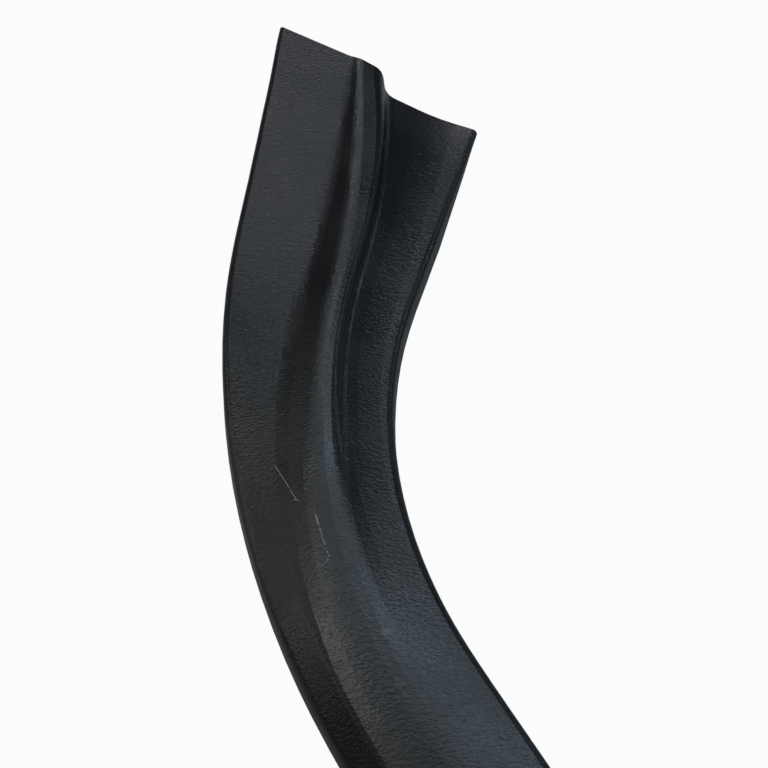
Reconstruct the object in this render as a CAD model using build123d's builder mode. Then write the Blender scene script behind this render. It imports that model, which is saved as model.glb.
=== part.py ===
# Sill trim: one moulded shell with a straight sill run, a bend and a swept end run, held by
# spring clips. X runs along the sill, Y from the outer to the inner edge of the bend, and Z
# out of the body panel, which is the plane Z = 0. The show face looks up.
import os
from math import cos, radians, sin

from build123d import *

os.makedirs("parts", exist_ok=True)

# Plan: each edge is a straight along the sill, an arc and a straight tail
sill_length = 250
sill_width = 60
bend_lead = 8
outer_radius = 420
outer_angle = 35.5
outer_tail = 142
inner_radius = 230
inner_angle = 46
inner_tail = 112

# Section along the chord from the outer to the inner edge, each as a share of the chord
# or a height over the body panel: at the sill, at the end of the bend, at the cut end
outer_edge_height = (6, 17, 23)
crease_share = (0.17, 0.435, 0.37)
crease_height = (14.8, 18.5, 24.4)
crown_start_share = (0.38, 0.60, 0.42)
crown_start_height = (17.6, 25, 25.8)
crown_end_share = (0.60, 0.688, 0.533)
crown_end_height = (18, 23.4, 24.6)
foot_share = (0.70, 0.702, 0.55)
foot_height = (17.6, 18.6, 10.5)
dish_share = (0.85, 0.85, 0.80)
dish_height = (16.9, 14, 10.2)
inner_edge_height = (16, 12.6, 14.4)
inner_wall_foot = (0, 3, 3)
outer_wall_foot = (0, 0, 0)

# Length of each rounded corner along its two legs, at the same three places
edge_rounding = (3, 3, 3)
crease_rounding = (1.2, 4, 2)
crown_start_rounding = (7, 4, 2)
crown_end_rounding = (6, 4.5, 5)
foot_rounding = (6, 4.5, 5)
dish_rounding = (10, 10, 14)

# How the crest drifts and the recess settles along the tail: 1 is straight, more starts later
crest_power = 1.25
recess_power = 3

# Shell
wall = 2.2
wall_draft = 3
end_bevel = 0.8
relief_length = 70
relief_height = 12
relief_depth = 6

# Cross ribs, as stations: the sill runs from -1 to 0, the bend to 1 and the tail to 2
rib_stations = (-0.92, -0.72, -0.52, -0.16, 0.14, 0.28, 0.56, 0.74, 1.10, 1.38, 1.86)
rib_thickness = 1.6
rib_foot = 1

# Clip towers: a blade between two flanges, at a station and a share of the chord
tower_places = ((-0.82, 0.60), (-0.34, 0.60), (0.42, 0.45), (0.92, 0.20), (1.24, 0.84), (1.72, 0.20))
blade_thickness = 2
blade_length = 12
blade_tip = -9
blade_chamfer = 0.5
flange_thickness = 1.8
flange_width = 10
flange_foot = 0.5

# Locating pins on finned bosses, the first at the origin
main_pin_share = 0.60
end_pin_place = (1.54, 0.22)
pin_radius = 3
pin_length = 8
pin_chamfer = 0.8
boss_radius = 5
fin_thickness = 1.6
fin_span = 17
fin_foot = 1.5

# Spring clips of folded strip over the blades
clip_gauge = 0.6
clip_width = 9
clip_clearance = 0.05
clip_top = 3
clip_neck = -0.8
clip_shoulder = -3.4
clip_shoulder_out = 3.4
clip_waist = -8
clip_fold_radius = 0.6

# Lofted sections, about evenly spaced
sill_sections = 8
bend_sections = 8
tail_sections = 5

outer_edge_y = -sill_width * main_pin_share
inner_edge_y = outer_edge_y + sill_width
outer_start_x = bend_lead * main_pin_share
inner_start_x = outer_start_x - bend_lead
stations = [i / sill_sections - 1 for i in range(sill_sections)]
stations += [i / bend_sections for i in range(bend_sections)]
stations += [i / tail_sections + 1 for i in range(tail_sections + 1)]
pin_places = ((0, main_pin_share), end_pin_place)
full_width = 3 * sill_width
full_height = 3 * sill_width


# A size at a station, eased over the bend and drawn out over the tail
def at_station(u, sizes, tail_power=2):
    sill, bend, cut = sizes
    if u <= 0:
        return sill
    if u <= 1:
        return sill + (bend - sill) * u * u * (3 - 2 * u)
    return bend + (cut - bend) * (u - 1) ** tail_power


# A point of an edge in plan
def edge_point(u, start_x, edge_y, radius, angle, tail):
    turn = radians(angle) * min(max(u, 0), 1)
    run = tail * max(u - 1, 0)
    x = start_x - radius * sin(turn) - run * cos(turn)
    y = edge_y + radius * (1 - cos(turn)) + run * sin(turn)
    if u < 0:
        x = start_x - u * (sill_length - start_x)
    return Vector(x, y)


def outer_point(u):
    return edge_point(u, outer_start_x, outer_edge_y, outer_radius, outer_angle, outer_tail)


def inner_point(u):
    return edge_point(u, inner_start_x, inner_edge_y, inner_radius, inner_angle, inner_tail)


def chord(u):
    return inner_point(u) - outer_point(u)


# Upright plane across the trim: x along the chord, y up, normal towards the sill
def section_plane(u):
    across = chord(u)
    return Plane(origin=outer_point(u), x_dir=across, z_dir=(across.Y, -across.X, 0))


# Level plane at a place, x along the chord
def place_plane(u, share):
    return Plane(origin=outer_point(u) + chord(u) * share, x_dir=chord(u), z_dir=(0, 0, 1))


# Corners of the show face at a station, from wall foot to wall foot
def show_corners(u):
    width = chord(u).length
    outer_height = at_station(u, outer_edge_height)
    inner_height = at_station(u, inner_edge_height, recess_power)
    outer_foot = at_station(u, outer_wall_foot)
    inner_foot = at_station(u, inner_wall_foot)
    lean = sin(radians(wall_draft))
    return [
        Vector(-lean * (outer_height - outer_foot), outer_foot),
        Vector(0, outer_height),
        Vector(width * at_station(u, crease_share), at_station(u, crease_height)),
        Vector(width * at_station(u, crown_start_share, crest_power), at_station(u, crown_start_height)),
        Vector(width * at_station(u, crown_end_share), at_station(u, crown_end_height)),
        Vector(width * at_station(u, foot_share), at_station(u, foot_height, recess_power)),
        Vector(width * at_station(u, dish_share), at_station(u, dish_height, recess_power)),
        Vector(width, inner_height),
        Vector(width + lean * (inner_height - inner_foot), inner_foot),
    ]


show_roundings = (
    edge_rounding,
    crease_rounding,
    crown_start_rounding,
    crown_end_rounding,
    foot_rounding,
    dish_rounding,
    edge_rounding,
)


# Draws the show face's line at a depth under it, and returns its two ends
def draw_show_line(u, depth):
    points = show_corners(u)
    runs = [b - a for a, b in zip(points, points[1:])]
    ways = [run.normalized() for run in runs]
    ups = [Vector(-way.Y, way.X) for way in ways]
    start = points[0] - ups[0] * depth
    end = points[-1] - ups[-1] * depth
    here = start
    for i, sizes in enumerate(show_roundings):
        corner = points[i + 1]
        leg = min(at_station(u, sizes), 0.45 * runs[i].length, 0.45 * runs[i + 1].length)
        miter = (ups[i] + ups[i + 1]) * (depth / (1 + ups[i].dot(ups[i + 1])))
        enter = corner - ways[i] * leg - ups[i] * depth
        leave = corner + ways[i + 1] * leg - ups[i + 1] * depth
        Line(here, enter)
        Bezier(enter, corner - miter, leave)
        here = leave
    Line(here, end)
    return start, end


# Draws the closed section of the shell between two depths
def draw_shell(u, top, bottom):
    top_start, top_end = draw_show_line(u, top)
    bottom_start, bottom_end = draw_show_line(u, bottom)
    Line(top_start, bottom_start)
    Line(top_end, bottom_end)


# Height of the wall's middle over the body panel at a place, away from the roundings
def middle_height(u, share):
    x = share * chord(u).length
    points = show_corners(u)[1:-1]
    for a, b in zip(points, points[1:]):
        if a.X <= x <= b.X:
            return a.Y + (b.Y - a.Y) * (x - a.X) / (b.X - a.X) - wall / 2


# Upright webs under the shell, by thickness: station, shift to the sill, share, width, foot
flange_shift = (blade_length + flange_thickness) / 2
ribs = [(u, 0, 0.5, full_width, rib_foot) for u in rib_stations]
fins = [(u, 0, share, fin_span, fin_foot) for u, share in pin_places]
keels = [(u, 0, share, fin_thickness, fin_foot) for u, share in pin_places]
blades = [(u, 0, share, blade_thickness, blade_tip + blade_chamfer) for u, share in tower_places]
flanges = [(u, flange_shift, share, flange_width, flange_foot) for u, share in tower_places]
flanges += [(u, -flange_shift, share, flange_width, flange_foot) for u, share in tower_places]
webs = (
    (rib_thickness, ribs),
    (fin_thickness, fins),
    (fin_span, keels),
    (blade_length, blades),
    (flange_thickness, flanges),
)

# Ribs, towers and pins, ending inside the wall
with BuildPart() as mouldings:
    for thickness, places in webs:
        for u, shift, share, width, foot in places:
            with BuildSketch(section_plane(u).offset(shift - thickness / 2)):
                with BuildLine():
                    start, end = draw_show_line(u, wall / 2)
                    Polyline(start, (start.X, blade_tip), (end.X, blade_tip), end)
                make_face()
                with Locations((share * chord(u).length, foot)):
                    Rectangle(width, full_height, align=(Align.CENTER, Align.MIN), mode=Mode.INTERSECT)
        extrude(amount=thickness)
    for u, share in tower_places:
        with BuildSketch(place_plane(u, share).offset(blade_tip + blade_chamfer)):
            Rectangle(blade_thickness, blade_length)
    extrude(amount=-blade_chamfer, taper=45)
    for u, share in pin_places:
        with BuildSketch(place_plane(u, share)):
            Circle(boss_radius)
        extrude(amount=middle_height(u, share))
    for u, share in pin_places:
        with BuildSketch(place_plane(u, share)):
            Circle(pin_radius)
    extrude(amount=pin_chamfer - pin_length)
    for u, share in pin_places:
        with BuildSketch(place_plane(u, share).offset(pin_chamfer - pin_length)):
            Circle(pin_radius)
    extrude(amount=-pin_chamfer, taper=45)

with BuildPart() as trim_panel:
    for u in stations:
        with BuildSketch(section_plane(u)):
            with BuildLine():
                draw_shell(u, 0, wall)
            make_face()
    loft()
    for u, outwards in ((-1, end_bevel), (2, -end_bevel)):
        with BuildSketch(section_plane(u)):
            with BuildLine():
                draw_shell(u, 0, wall)
            make_face()
        with BuildSketch(section_plane(u).offset(outwards)):
            with BuildLine():
                draw_shell(u, end_bevel, wall)
            make_face()
        loft(ruled=True)
    add(mouldings.part)
    tail = inner_point(1) - inner_point(2)
    wall_foot = at_station(2, inner_wall_foot)
    with BuildSketch(Plane(origin=inner_point(2), x_dir=tail, z_dir=(tail.Y, -tail.X, 0))):
        with BuildLine():
            Polyline(
                (-relief_depth, relief_height),
                (0, relief_height),
                (relief_length, wall_foot),
                (relief_length, 0),
                (-relief_depth, 0),
                close=True,
            )
        make_face()
    extrude(amount=relief_depth, both=True, mode=Mode.SUBTRACT)

with BuildPart() as spring_clips:
    half = blade_thickness / 2 + clip_clearance + clip_gauge / 2
    leg = [
        (half, clip_top),
        (half, clip_neck),
        (clip_shoulder_out, clip_shoulder),
        (half, clip_waist),
        (half, blade_tip - clip_gauge / 2),
    ]
    strip = leg + [(-x, y) for x, y in reversed(leg)]
    for u, share in tower_places:
        middle = share * chord(u).length
        with BuildSketch(section_plane(u).offset(-clip_width / 2)):
            with BuildLine() as fold:
                FilletPolyline(*[(middle + x, y) for x, y in strip], radius=clip_fold_radius)
            trace(fold.line, line_width=clip_gauge)
        extrude(amount=clip_width)

trim_panel.part.label = "trim_panel"
spring_clips.part.label = "spring_clips"
export_step(trim_panel.part, "parts/trim_panel.step")
export_step(spring_clips.part, "parts/spring_clips.step")
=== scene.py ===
import math

import bpy
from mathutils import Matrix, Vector


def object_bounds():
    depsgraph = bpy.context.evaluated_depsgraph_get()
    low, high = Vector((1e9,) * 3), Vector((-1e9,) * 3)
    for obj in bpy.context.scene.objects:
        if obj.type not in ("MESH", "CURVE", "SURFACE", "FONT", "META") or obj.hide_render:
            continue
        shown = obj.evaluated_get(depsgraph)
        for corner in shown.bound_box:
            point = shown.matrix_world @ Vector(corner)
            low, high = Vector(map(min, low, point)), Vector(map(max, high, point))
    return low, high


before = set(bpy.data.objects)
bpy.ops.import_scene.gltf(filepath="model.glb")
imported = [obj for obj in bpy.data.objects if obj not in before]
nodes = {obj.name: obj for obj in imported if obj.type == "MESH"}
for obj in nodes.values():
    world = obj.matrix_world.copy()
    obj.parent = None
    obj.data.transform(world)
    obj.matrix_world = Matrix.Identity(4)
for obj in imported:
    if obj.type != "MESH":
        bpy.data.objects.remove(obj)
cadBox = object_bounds()
scene = bpy.context.scene
scene.view_settings.view_transform = "Standard"
mm = 0.001
print("frame loaded:", ", ".join(sorted(nodes)))


# A node of a tree, with its settings and the values or links of its inputs
def addNode(tree, kind, settings=None, **inputs):
    node = tree.nodes.new(kind)
    for name, value in (settings or {}).items():
        setattr(node, name, value)
    for name, value in inputs.items():
        numbered = name[0] == "i" and name[1:].isdigit()   # i0, i1 and so on go by place
        socket = node.inputs[int(name[1:]) if numbered else name]
        if isinstance(value, bpy.types.NodeSocket):
            tree.links.new(value, socket)
        else:
            socket.default_value = value
    return node


def addMath(tree, operation, *values):
    return addNode(tree, "ShaderNodeMath", {"operation": operation},
                   **{f"i{i}": value for i, value in enumerate(values)}).outputs[0]


def addVector(tree, operation, *values):
    return addNode(tree, "ShaderNodeVectorMath", {"operation": operation},
                   **{f"i{i}": value for i, value in enumerate(values)}).outputs


# A value eased from 0 to 1 between two limits
def addRamp(tree, value, low, high, fromValue=0.0, toValue=1.0):
    return addNode(tree, "ShaderNodeMapRange", {"interpolation_type": "SMOOTHSTEP"},
                   i0=value, i1=low, i2=high, i3=fromValue, i4=toValue).outputs[0]


def newMaterial(name):
    material = bpy.data.materials.new(name)
    material.use_nodes = True
    tree = material.node_tree
    shader = tree.nodes["Principled BSDF"]
    return material, tree, shader


def dress(name, material):
    node = nodes[name]
    node.data.materials.clear()
    node.data.materials.append(material)


# Satin black plastic with a moulded leather grain and the marks of use
panelLook = {
    "colour": (0.014, 0.015, 0.017, 1.0),
    "roughness": (0.26, 0.36),
    "grainPitch": 1.15,      # mm from wrinkle to wrinkle
    "grainStretch": 0.55,    # scale along the turned way, beside the scale across it
    "grainTurn": 60.0,       # degrees from x to the way they are drawn out
    "grainDepth": 0.05 * mm,
    "fineness": 2.6,         # finer wrinkles to a wrinkle
    "fineShare": 0.35,       # their height beside it
    "markColour": (0.55, 0.55, 0.52, 1.0),
    "dustColour": (0.16, 0.16, 0.16, 1.0),
}
# Marks in plan, in mm: scratches as (half width, how broken up, points), dust as (radius, strength, x, y)
scratches = (
    (0.16, 0.35, ((-116.7, -0.4), (-105.9, -0.6), (-100.9, -1.0), (-97.4, -1.0))),
    (0.20, 0.30, ((-97.8, -1.8), (-96.0, -0.4))),
    (0.30, 0.52, ((-88.4, 2.2), (-79.3, -0.1), (-69.4, -2.4), (-67.0, -2.5), (-65.6, -6.3))),
)
dust = (
    (2.6, 0.55, -29.3, -0.2),
    (0.55, 1.0, -59.7, 24.6),
    (0.50, 1.0, -10.9, 18.3),
    (0.50, 1.0, -242.7, 60.2),
    (0.45, 0.8, -170.5, 83.0),
)


# Distance in mm from a spot to a line between two places
def addLineDistance(tree, spot, start, end):
    start, end = Vector((*start, 0)), Vector((*end, 0))
    run = end - start
    reach = addVector(tree, "SUBTRACT", spot, start)["Vector"]
    along = addVector(tree, "DOT_PRODUCT", reach, run / run.length_squared)["Value"]
    share = addNode(tree, "ShaderNodeClamp", Value=along).outputs[0]
    shares = addNode(tree, "ShaderNodeCombineXYZ", i0=share, i1=share, i2=share).outputs[0]
    foot = addVector(tree, "MULTIPLY_ADD", shares, run, start)["Vector"]
    return addVector(tree, "DISTANCE", spot, foot)["Value"]


def makePanelMaterial(look):
    material, tree, shader = newMaterial("grainedPlastic")
    place = addNode(tree, "ShaderNodeTexCoord").outputs["Object"]
    spot = addVector(tree, "MULTIPLY", place, (1 / mm, 1 / mm, 1 / mm))["Vector"]
    plan = addVector(tree, "MULTIPLY", place, (1 / mm, 1 / mm, 0))["Vector"]

    # Grain: wrinkles drawn out across the trim, with finer ones between them
    turned = addNode(tree, "ShaderNodeMapping", {"vector_type": "TEXTURE"}, Vector=spot,
                     Rotation=(0, 0, math.radians(look["grainTurn"])),
                     Scale=(1 / look["grainStretch"], 1, 1)).outputs[0]
    wrinkle = addNode(tree, "ShaderNodeTexNoise", Vector=turned, Scale=1 / look["grainPitch"], Detail=1.5,
                      Distortion=0.6).outputs["Fac"]
    pebble = addRamp(tree, wrinkle, 0.30, 0.70)
    fine = addNode(tree, "ShaderNodeTexNoise", Vector=turned, Scale=look["fineness"] / look["grainPitch"],
                   Detail=1.0).outputs["Fac"]
    height = addMath(tree, "MULTIPLY_ADD", fine, look["fineShare"], pebble)
    bump = addNode(tree, "ShaderNodeBump", Height=height, Distance=look["grainDepth"], Strength=1.0)
    tree.links.new(bump.outputs[0], shader.inputs["Normal"])

    # Wear: broken scratches and specks of dust on the show face
    broken = addNode(tree, "ShaderNodeTexNoise", Vector=spot, Scale=0.9, Detail=2.0).outputs["Fac"]
    marks = None
    for halfWidth, gaps, points in scratches:
        near = None
        for start, end in zip(points, points[1:]):
            distance = addLineDistance(tree, plan, start, end)
            near = distance if near is None else addMath(tree, "MINIMUM", near, distance)
        line = addMath(tree, "MULTIPLY", addRamp(tree, near, halfWidth, halfWidth * 0.4),
                       addRamp(tree, broken, gaps - 0.06, gaps + 0.06))
        marks = line if marks is None else addMath(tree, "MAXIMUM", marks, line)
    dusty = None
    for radius, strength, x, y in dust:
        distance = addVector(tree, "DISTANCE", plan, (x, y, 0))["Value"]
        spotDust = addRamp(tree, distance, radius, radius * 0.3, 0.0, strength)
        dusty = spotDust if dusty is None else addMath(tree, "MAXIMUM", dusty, spotDust)
    facing = addNode(tree, "ShaderNodeNewGeometry").outputs["True Normal"]
    faceUp = addNode(tree, "ShaderNodeSeparateXYZ", Vector=facing)
    show = addRamp(tree, faceUp.outputs["Z"], 0.1, 0.3)
    dusted = addNode(tree, "ShaderNodeMix", {"data_type": "RGBA"}, i0=addMath(tree, "MULTIPLY", dusty, show),
                     i6=look["colour"], i7=look["dustColour"]).outputs[2]
    marked = addNode(tree, "ShaderNodeMix", {"data_type": "RGBA"}, i0=addMath(tree, "MULTIPLY", marks, show),
                     i6=dusted, i7=look["markColour"]).outputs[2]
    tree.links.new(marked, shader.inputs["Base Color"])

    # Handling leaves the gloss a little uneven
    worn = addNode(tree, "ShaderNodeTexNoise", Vector=spot, Scale=0.03, Detail=3.0).outputs["Fac"]
    tree.links.new(addRamp(tree, worn, 0.3, 0.7, *look["roughness"]), shader.inputs["Roughness"])
    return material


dress("trim_panel", makePanelMaterial(panelLook))
print("panel dressed")

# Zinc-coated spring steel
clipLook = {
    "colour": (0.36, 0.35, 0.33, 1.0),
    "dull": (0.20, 0.19, 0.18, 1.0),
    "roughness": (0.28, 0.45),
    "blotches": 700.0,    # to a metre
}


def makeClipMaterial(look):
    material, tree, shader = newMaterial("springSteel")
    spot = addNode(tree, "ShaderNodeTexCoord").outputs["Object"]
    blotch = addNode(tree, "ShaderNodeTexNoise", Vector=spot, Scale=look["blotches"], Detail=4.0).outputs["Fac"]
    mix = addNode(tree, "ShaderNodeMix", {"data_type": "RGBA"}, Factor=blotch)
    mix.inputs[6].default_value = look["colour"]
    mix.inputs[7].default_value = look["dull"]
    tree.links.new(mix.outputs[2], shader.inputs["Base Color"])
    tree.links.new(addRamp(tree, blotch, 0.3, 0.7, *look["roughness"]), shader.inputs["Roughness"])
    shader.inputs["Metallic"].default_value = 1.0
    return material


dress("spring_clips", makeClipMaterial(clipLook))
print("clips dressed")

# White floor under the clips, seen white by the camera, which keeps a faint shadow
floorLook = {"size": 6.0, "colour": (0.90, 0.90, 0.90, 1.0), "glow": 0.96}


def makeFloor(look):
    half = look["size"] / 2
    mesh = bpy.data.meshes.new("floor")
    corners = [(-half, -half, 0), (half, -half, 0), (half, half, 0), (-half, half, 0)]
    mesh.from_pydata(corners, [], [(0, 1, 2, 3)])
    floor = bpy.data.objects.new("floor", mesh)
    floor.location.z = cadBox[0].z
    scene.collection.objects.link(floor)
    material, tree, shader = newMaterial("floorWhite")
    shader.inputs["Base Color"].default_value = look["colour"]
    shader.inputs["Roughness"].default_value = 0.9
    shader.inputs["Specular IOR Level"].default_value = 0.0
    seen = addNode(tree, "ShaderNodeLightPath").outputs["Is Camera Ray"]
    glow = addNode(tree, "ShaderNodeEmission", Strength=1.0)
    mix = addNode(tree, "ShaderNodeMixShader", i0=addMath(tree, "MULTIPLY", seen, look["glow"]),
                  i1=shader.outputs[0], i2=glow.outputs[0])
    tree.links.new(mix.outputs[0], tree.nodes["Material Output"].inputs["Surface"])
    mesh.materials.append(material)


makeFloor(floorLook)

# Softboxes round the target, each as degrees up, degrees right of straight behind it,
# height and width in degrees, brightness and tint
target = Vector((-0.1428, 0.0641, 0.0))
lampDistance = 2.0
cameraAzimuth = math.radians(60.27)
worldLook = {"colour": (1.0, 1.0, 1.0, 1.0), "strength": 0.02}
tints = {"warm": (1.0, 0.98, 0.9), "plain": (0.9, 0.92, 1.0), "cool": (0.7, 0.87, 1.0)}
lamps = (
    ("overhead", 66, 0, 14, 80, 1.8, "cool"),
    ("bendLight", 56, 8, 7, 18, 6.0, "cool"),
    ("back", 44, -5, 8, 20, 1.2, "plain"),
    ("backLow", 31, -14, 6, 18, 5.0, "plain"),
    ("leftHigh", 60, -60, 8, 30, 6.0, "warm"),
    ("left", 34, -70, 10, 40, 1.6, "warm"),
    ("leftFloor", 16, -80, 12, 20, 1.3, "warm"),
    ("right", 60, 50, 8, 30, 6.0, "cool"),
    ("rightLow", 28, 55, 9, 20, 2.2, "cool"),
)


def lightScene():
    world = bpy.data.worlds.new("softWorld")
    world.use_nodes = True
    background = world.node_tree.nodes["Background"]
    background.inputs["Color"].default_value = worldLook["colour"]
    background.inputs["Strength"].default_value = worldLook["strength"]
    scene.world = world
    behind = Vector((-math.sin(cameraAzimuth), math.cos(cameraAzimuth), 0))
    right = Vector((behind.y, -behind.x, 0))
    for name, up, turn, high, wide, glow, tint in lamps:
        rise, turn = math.radians(up), math.radians(turn)
        level = behind * math.cos(turn) + right * math.sin(turn)
        way = level * math.cos(rise) + Vector((0, 0, math.sin(rise)))
        data = bpy.data.lights.new(name, "AREA")
        data.shape = "RECTANGLE"
        data.size = 2 * lampDistance * math.tan(math.radians(wide) / 2) * math.cos(rise)
        data.size_y = 2 * lampDistance * math.tan(math.radians(high) / 2)
        data.energy = math.pi * data.size * data.size_y * glow
        data.color = tints[tint]
        lamp = bpy.data.objects.new(name, data)
        lamp.location = target + way * lampDistance
        lamp.rotation_euler = (-way).to_track_quat("-Z", "Y").to_euler()
        scene.collection.objects.link(lamp)


lightScene()
print("floor and lamps placed")

# Camera of the photograph
cameraLook = {"elevation": 51.0, "distance": 0.640, "focalPixels": 1500.0, "pixels": 768}


def placeCamera(look):
    turn = cameraAzimuth
    rise = math.radians(look["elevation"])
    back = Vector((math.sin(turn) * math.cos(rise), -math.cos(turn) * math.cos(rise), math.sin(rise)))
    data = bpy.data.cameras.new("camera")
    data.sensor_width = 36.0
    data.lens = data.sensor_width * look["focalPixels"] / look["pixels"]
    camera = bpy.data.objects.new("camera", data)
    camera.location = target + back * look["distance"]
    camera.rotation_euler = (-back).to_track_quat("-Z", "Y").to_euler()
    scene.collection.objects.link(camera)
    scene.camera = camera


placeCamera(cameraLook)
print("camera placed")
